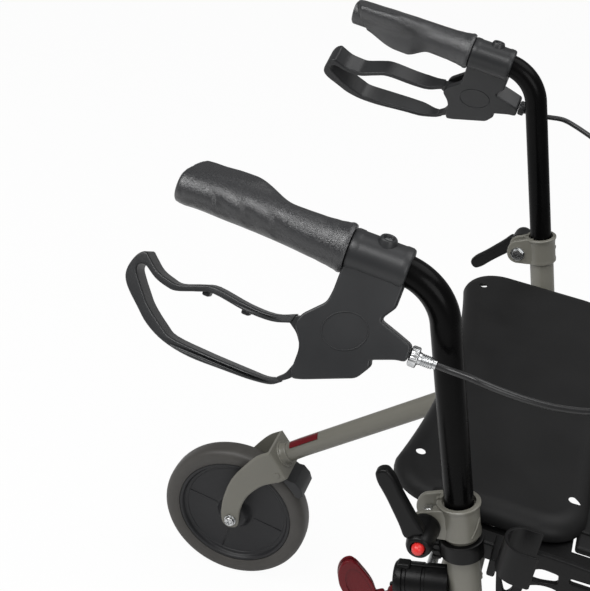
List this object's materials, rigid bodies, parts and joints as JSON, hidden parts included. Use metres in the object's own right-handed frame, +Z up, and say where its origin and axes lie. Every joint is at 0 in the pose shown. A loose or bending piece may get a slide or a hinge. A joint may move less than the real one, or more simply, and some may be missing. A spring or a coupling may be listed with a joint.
{
  "type": "four-wheel rollator",
  "caption": "Folding four-wheel walking frame with a moulded seat, loop brake levers, height clamps, a side rack and a front basket.",
  "frame": {"origin": "on the floor, under the middle of the bounding box", "axes": "+Y towards the user who walks behind it, +X the user's left, +Z up; it rolls along -Y"},
  "size_m": [0.6502, 0.7196, 0.837],
  "materials": {
    "taupe_paint": "satin powder coat, warm grey-green taupe",
    "black_tube": "gloss black powder coat",
    "black_plastic": "fine moulded grain",
    "seat_plastic": "fine matt grain",
    "grip_rubber": "soft moulded grip, fine leather-like grain",
    "grey_tyre": "grey-brown PU foam tread",
    "hub_plastic": "moulded, blue-black",
    "zinc": "bright zinc plate",
    "red_plastic": "satin red",
    "cable_sleeve": "smooth black cable housing"
  },
  "bodies": {
    "front_frame": {"front_leg_right": "taupe_paint", "front_leg_left": "taupe_paint", "seat_rest_tube": "taupe_paint", "front_cross_tube": "taupe_paint", "clamp_collar_right": "taupe_paint", "clamp_collar_left": "taupe_paint", "clamp_bolt_right": "zinc", "clamp_bolt_left": "zinc", "pivot_bolt_right": "zinc", "pivot_bolt_left": "zinc", "side_rack": "black_plastic", "lock_housing": "black_plastic", "lock_pin": "zinc"},
    "rear_frame": {"rear_leg_right": "taupe_paint", "rear_leg_left": "taupe_paint", "rear_cross_tube": "taupe_paint", "hinge_cross_tube": "taupe_paint", "rear_fork_right": "taupe_paint", "rear_fork_left": "taupe_paint", "rear_axle_right": "zinc", "rear_axle_left": "zinc"},
    "seat": {"seat": "seat_plastic"},
    "lock_lever": {"lock_lever": "red_plastic"},
    "lock_bolt": {"lock_bolt": "zinc"},
    "basket": {"basket": "black_plastic"},
    "rear_wheel_right": {"rear_tyre_right": "grey_tyre", "rear_hub_right": "hub_plastic"},
    "caster_right": {"front_fork_right": "taupe_paint", "front_axle_right": "zinc", "caster_stem_right": "zinc"},
    "front_wheel_right": {"front_tyre_right": "grey_tyre", "front_hub_right": "hub_plastic"},
    "handle_right": {"handle_tube_right": "black_tube", "grip_right": "grip_rubber", "brake_housing_right": "black_plastic", "lever_pin_right": "zinc", "cable_adjuster_right": "zinc", "brake_cable_right": "cable_sleeve"},
    "brake_lever_right": {"brake_lever_right": "black_plastic"},
    "brake_arm_right": {"brake_arm_right": "black_plastic"},
    "clamp_lever_right": {"clamp_lever_right": "black_plastic"},
    "clamp_button_right": {"clamp_button_right": "red_plastic"},
    "rear_wheel_left": {"rear_tyre_left": "grey_tyre", "rear_hub_left": "hub_plastic"},
    "caster_left": {"front_fork_left": "taupe_paint", "front_axle_left": "zinc", "caster_stem_left": "zinc"},
    "front_wheel_left": {"front_tyre_left": "grey_tyre", "front_hub_left": "hub_plastic"},
    "handle_left": {"handle_tube_left": "black_tube", "grip_left": "grip_rubber", "brake_housing_left": "black_plastic", "lever_pin_left": "zinc", "cable_adjuster_left": "zinc", "brake_cable_left": "cable_sleeve"},
    "brake_lever_left": {"brake_lever_left": "black_plastic"},
    "brake_arm_left": {"brake_arm_left": "black_plastic"},
    "clamp_lever_left": {"clamp_lever_left": "black_plastic"},
    "clamp_button_left": {"clamp_button_left": "red_plastic"}
  },
  "joints": [
    {"name": "fold", "type": "hinge", "parent": "front_frame", "child": "rear_frame", "pos_m": [0, -0.07413, 0.47248], "axis": [-1, 0, 0], "range_deg": [0, 46.6]},
    {"name": "seat_hinge", "type": "hinge", "parent": "rear_frame", "child": "seat", "pos_m": [0, -0.21444, 0.6006], "axis": [1, 0, 0], "range_deg": [0, 119.6]},
    {"name": "rear_wheel_spin_right", "type": "hinge", "parent": "rear_frame", "child": "rear_wheel_right", "pos_m": [-0.29, 0.25975, 0.1], "axis": [1, 0, 0], "continuous": true},
    {"name": "caster_swivel_right", "type": "hinge", "parent": "front_frame", "child": "caster_right", "pos_m": [-0.24, -0.29975, 0.2145], "axis": [0, 0, 1], "continuous": true},
    {"name": "front_wheel_spin_right", "type": "hinge", "parent": "caster_right", "child": "front_wheel_right", "pos_m": [-0.24, -0.25975, 0.1], "axis": [1, 0, 0], "continuous": true},
    {"name": "handle_height_right", "type": "slide", "parent": "front_frame", "child": "handle_right", "axis": [0, 0.2924, 0.9563], "range_m": [-0.025, 0.085], "deforming": ["brake_cable_right"]},
    {"name": "brake_pull_right", "type": "hinge", "parent": "handle_right", "child": "brake_lever_right", "pos_m": [-0.26306, 0.08073, 0.76637], "axis": [0.891, 0.0372, -0.4525], "range_deg": [0, 13], "stiffness_Nm_per_rad": 2, "springref_deg": -8.59},
    {"name": "brake_shoe_right", "type": "hinge", "parent": "rear_frame", "child": "brake_arm_right", "pos_m": [-0.29, 0.20925, 0.1965], "axis": [1, 0, 0], "range_deg": [0, 4.2]},
    {"name": "clamp_turn_right", "type": "hinge", "parent": "front_frame", "child": "clamp_lever_right", "pos_m": [-0.24, -0.00579, 0.61565], "axis": [1, 0, 0], "range_deg": [-100, 0]},
    {"name": "clamp_press_right", "type": "slide", "parent": "clamp_lever_right", "child": "clamp_button_right", "axis": [1, 0, 0], "range_m": [0, 0.003], "stiffness_N_per_m": 300, "springref_m": -0.004},
    {"name": "rear_wheel_spin_left", "type": "hinge", "parent": "rear_frame", "child": "rear_wheel_left", "pos_m": [0.29, 0.25975, 0.1], "axis": [1, 0, 0], "continuous": true},
    {"name": "caster_swivel_left", "type": "hinge", "parent": "front_frame", "child": "caster_left", "pos_m": [0.24, -0.29975, 0.2145], "axis": [0, 0, 1], "continuous": true},
    {"name": "front_wheel_spin_left", "type": "hinge", "parent": "caster_left", "child": "front_wheel_left", "pos_m": [0.24, -0.25975, 0.1], "axis": [1, 0, 0], "continuous": true},
    {"name": "handle_height_left", "type": "slide", "parent": "front_frame", "child": "handle_left", "axis": [0, 0.2924, 0.9563], "range_m": [-0.025, 0.085], "deforming": ["brake_cable_left"]},
    {"name": "brake_pull_left", "type": "hinge", "parent": "handle_left", "child": "brake_lever_left", "pos_m": [0.26306, 0.08073, 0.76637], "axis": [0.891, -0.0372, 0.4525], "range_deg": [0, 13], "stiffness_Nm_per_rad": 2, "springref_deg": -8.59},
    {"name": "brake_shoe_left", "type": "hinge", "parent": "rear_frame", "child": "brake_arm_left", "pos_m": [0.29, 0.20925, 0.1965], "axis": [1, 0, 0], "range_deg": [0, 4.2]},
    {"name": "clamp_turn_left", "type": "hinge", "parent": "front_frame", "child": "clamp_lever_left", "pos_m": [0.24, -0.00579, 0.61565], "axis": [1, 0, 0], "range_deg": [0, 100]},
    {"name": "clamp_press_left", "type": "slide", "parent": "clamp_lever_left", "child": "clamp_button_left", "axis": [-1, 0, 0], "range_m": [0, 0.003], "stiffness_N_per_m": 300, "springref_m": -0.004},
    {"name": "lock_pull", "type": "hinge", "parent": "front_frame", "child": "lock_lever", "pos_m": [-0.24, 0.00499, 0.52776], "axis": [-1, 0, 0], "range_deg": [0, 35], "stiffness_Nm_per_rad": 0.12, "springref_deg": -8.59},
    {"name": "lock_slide", "type": "slide", "parent": "front_frame", "child": "lock_bolt", "axis": [-1, 0, 0], "range_m": [0, 0.0085]},
    {"name": "basket_lift", "type": "slide", "parent": "front_frame", "child": "basket", "axis": [0, -0.6, 0.8], "range_m": [0, 0.25]}
  ],
  "couplings": [
    {"joint": "seat_hinge", "follows": "fold", "ratio": 2.5644},
    {"joint": "brake_shoe_right", "follows": "brake_pull_right", "ratio": 0.3154},
    {"joint": "brake_shoe_left", "follows": "brake_pull_left", "ratio": 0.3154},
    {"joint": "lock_slide", "follows": "lock_pull", "m_per_rad": 0.0135}
  ]
}
